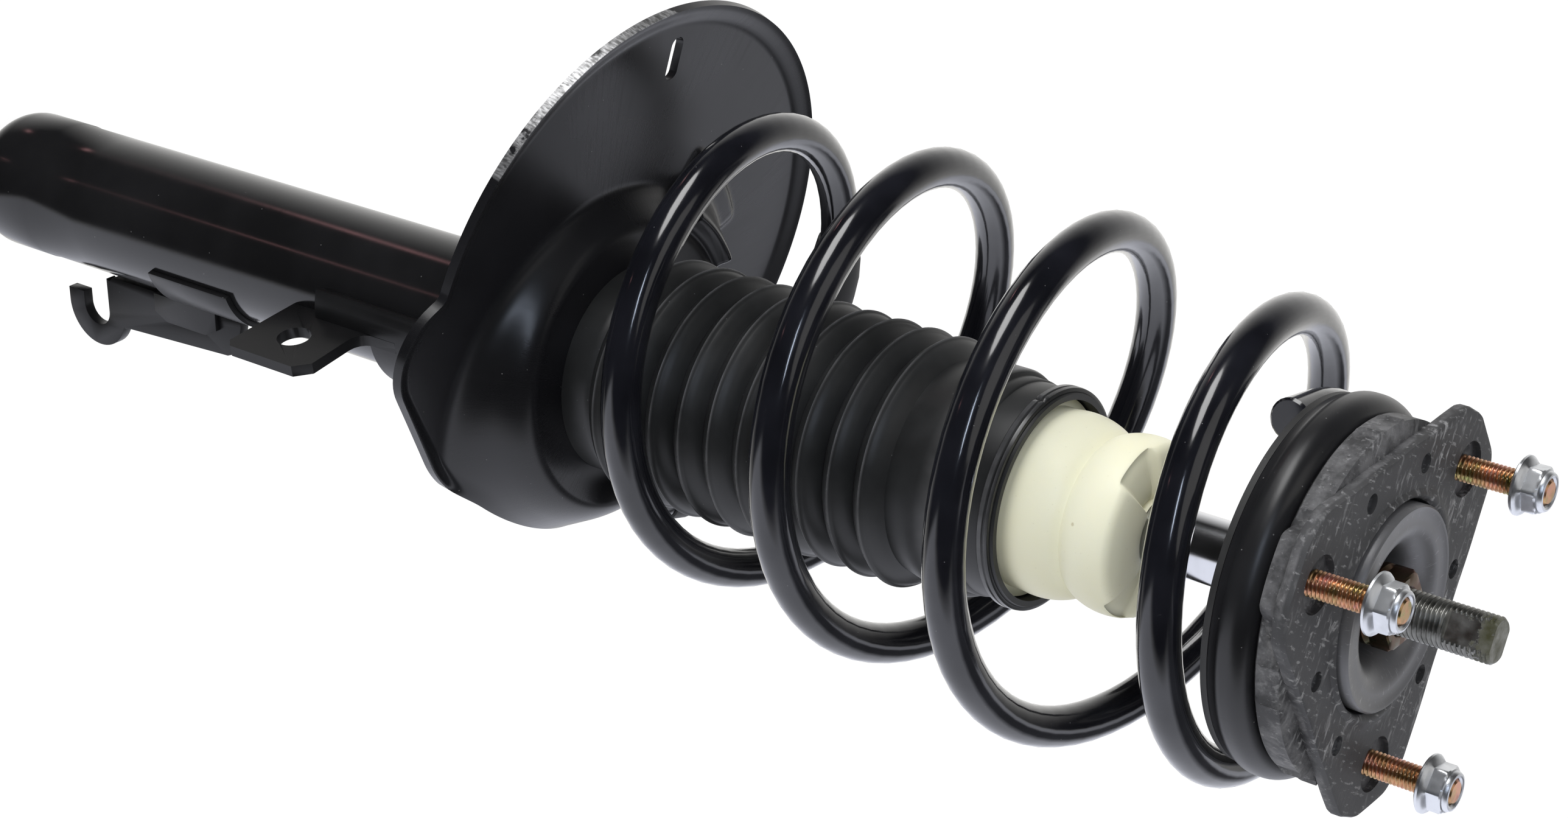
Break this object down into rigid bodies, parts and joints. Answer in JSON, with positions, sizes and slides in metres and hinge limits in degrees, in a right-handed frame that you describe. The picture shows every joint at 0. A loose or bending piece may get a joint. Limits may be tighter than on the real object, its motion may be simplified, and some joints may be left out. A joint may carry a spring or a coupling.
{
  "type": "suspension strut assembly",
  "caption": "Ready-assembled front suspension strut: tubular damper, leaning coil spring, dust boot, bump stop and a three-stud top mount on a bearing.",
  "frame": {"origin": "centre of the closed lower end of the strut tube, on the tube's axis", "axes": "+Z along the strut's axis from the knuckle clamp to the top mount, +X towards one of the three studs, which is also the side that the picture shows"},
  "size_m": [0.1905, 0.196, 0.6133],
  "materials": {
    "tube_paint": "satin black stove enamel",
    "pan_paint": "glossy black stove enamel",
    "bracket_paint": "satin black stove enamel",
    "seat_paint": "satin black enamel",
    "spring_coat": "glossy black powder coat",
    "boot_rubber": "smooth moulded rubber",
    "black_rubber": "matte rubber",
    "mount_rubber": "dusty scuffed rubber over steel",
    "ivory_foam": "ivory microcellular polyurethane",
    "cage_plastic": "natural nylon",
    "cup_steel": "phosphated grey steel",
    "bright_steel": "machined steel",
    "hard_chrome": "ground and polished hard chrome",
    "yellow_zinc": "yellow passivated zinc",
    "bright_zinc": "clear passivated zinc",
    "snap_plastic": "black nylon"
  },
  "bodies": {
    "strut_body": {"outer_tube": "tube_paint", "pressure_tube": "bright_steel", "base_valve": "bright_steel", "rod_guide": "bright_steel", "rod_seal": "black_rubber", "spring_pan": "pan_paint", "coil_spring": "spring_coat", "coil_sleeve": "black_rubber", "dust_boot": "boot_rubber", "hose_bracket": "bracket_paint", "hose_bracket_foot": "bracket_paint", "link_bracket": "bracket_paint"},
    "upper_seat": {"upper_seat": "seat_paint", "upper_pad": "black_rubber", "bearing_lower_race": "bright_steel", "bearing_balls": "bright_steel", "bearing_cage": "cage_plastic"},
    "top_mount": {"bearing_upper_race": "bright_steel", "mount_housing": "mount_rubber", "mount_core": "black_rubber", "mount_sleeve": "bright_steel", "mount_cup": "cup_steel", "mount_studs": "yellow_zinc", "stud_nuts": "bright_zinc", "rod_nut": "yellow_zinc", "piston_rod": "hard_chrome", "piston": "bright_steel", "piston_nut": "bright_steel", "rebound_stop": "black_rubber"},
    "bump_stop": {"bump_stop": "ivory_foam", "snap_ring": "snap_plastic"}
  },
  "joints": [
    {"name": "suspension_travel", "type": "slide", "parent": "strut_body", "child": "upper_seat", "axis": [0, 0, 1], "range_m": [-0.14, 0], "stiffness_N_per_m": 24000, "springref_m": 0.05, "deforming": ["coil_spring"]},
    {"name": "steering_swivel", "type": "hinge", "parent": "upper_seat", "child": "top_mount", "pos_m": [0, 0, 0.56], "axis": [0, 0, 1], "range_deg": [-42, 42]},
    {"name": "bump_stop_ride", "type": "slide", "parent": "strut_body", "child": "bump_stop", "axis": [0, 0, 1], "range_m": [-0.088, 0], "deforming": ["dust_boot"]}
  ],
  "couplings": [
    {"joint": "bump_stop_ride", "follows": "suspension_travel", "ratio": 0.622}
  ]
}
